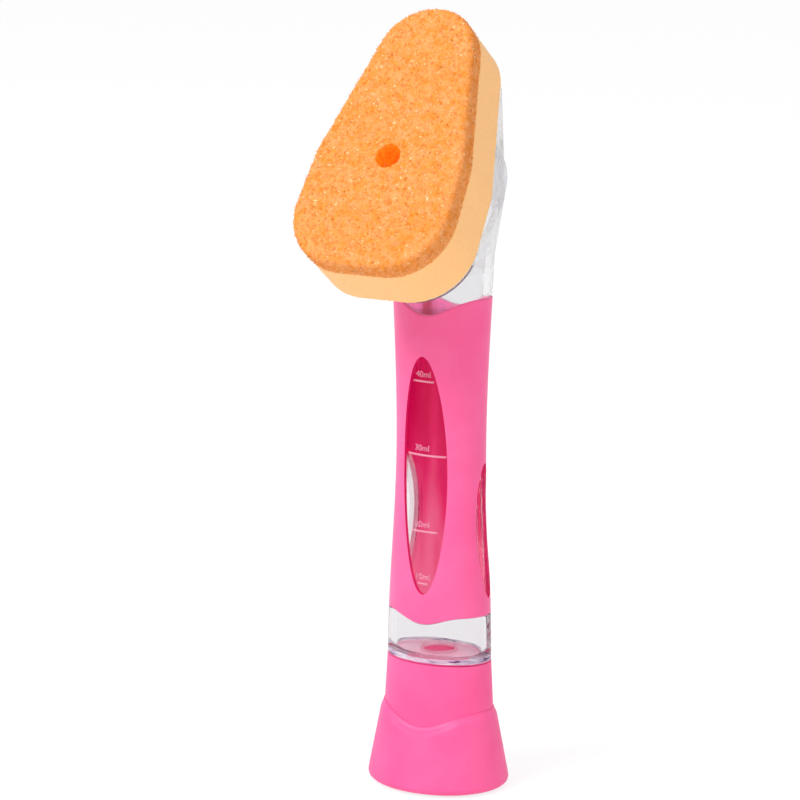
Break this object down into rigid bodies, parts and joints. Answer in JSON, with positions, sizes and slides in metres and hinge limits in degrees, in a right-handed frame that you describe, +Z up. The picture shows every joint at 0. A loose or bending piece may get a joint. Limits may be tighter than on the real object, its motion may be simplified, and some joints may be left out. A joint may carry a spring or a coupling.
{
  "type": "dish wand",
  "caption": "Soap-dispensing dish wand with a clear refillable handle, a soft pink grip and a slide-on sponge, standing on its flared screw base.",
  "frame": {"origin": "middle of the rest face under the base, on the handle's axis", "axes": "+Z up along the handle, -Y towards the side that the sponge faces, +X to the right as seen from the sponge's side"},
  "size_m": [0.0598, 0.0885, 0.275],
  "materials": {
    "clear_plastic": "polished",
    "soft_grip": "satin",
    "pink_plastic": "satin",
    "pad_rubber": "matte",
    "white_plastic": "satin",
    "seal_rubber": "matte",
    "stainless": "brushed",
    "peach_foam": "porous",
    "orange_scourer": "open fibres"
  },
  "bodies": {
    "handle": {"tank": "clear_plastic", "grip_sleeve": "soft_grip", "neck_seal": "seal_rubber", "head_shell": "clear_plastic", "head_plate": "clear_plastic", "valve_cup": "clear_plastic", "outlet_seal": "seal_rubber", "button_housing": "white_plastic", "stem_seal": "seal_rubber", "button_bezel": "white_plastic", "return_spring": "stainless"},
    "button": {"push_button": "white_plastic", "valve_stem": "stainless", "valve_disc": "seal_rubber"},
    "cap_carrier": {"cap_gasket": "seal_rubber"},
    "cap": {"cap_body": "pink_plastic", "base_skirt": "pink_plastic", "foot_pad": "pad_rubber", "plug_seal": "seal_rubber"},
    "sponge": {"sponge_carrier": "clear_plastic", "foam_block": "peach_foam", "scour_pad": "orange_scourer"}
  },
  "joints": [
    {"name": "button_press", "type": "slide", "parent": "handle", "child": "button", "axis": [0, -1, 0], "range_m": [0, 0.003], "stiffness_N_per_m": 600, "springref_m": -0.002, "deforming": ["return_spring"]},
    {"name": "cap_lift", "type": "slide", "parent": "handle", "child": "cap_carrier", "axis": [0, 0, -1], "range_m": [0, 0.0046]},
    {"name": "cap_turn", "type": "hinge", "parent": "cap_carrier", "child": "cap", "pos_m": [0, 0, 0.02], "axis": [0, 0, -1], "range_deg": [0, 540]},
    {"name": "sponge_slide", "type": "slide", "parent": "handle", "child": "sponge", "axis": [0, 0.5835, 0.8121], "range_m": [0, 0.06]}
  ],
  "couplings": [
    {"joint": "cap_lift", "follows": "cap_turn", "m_per_rad": 0.00047746}
  ]
}
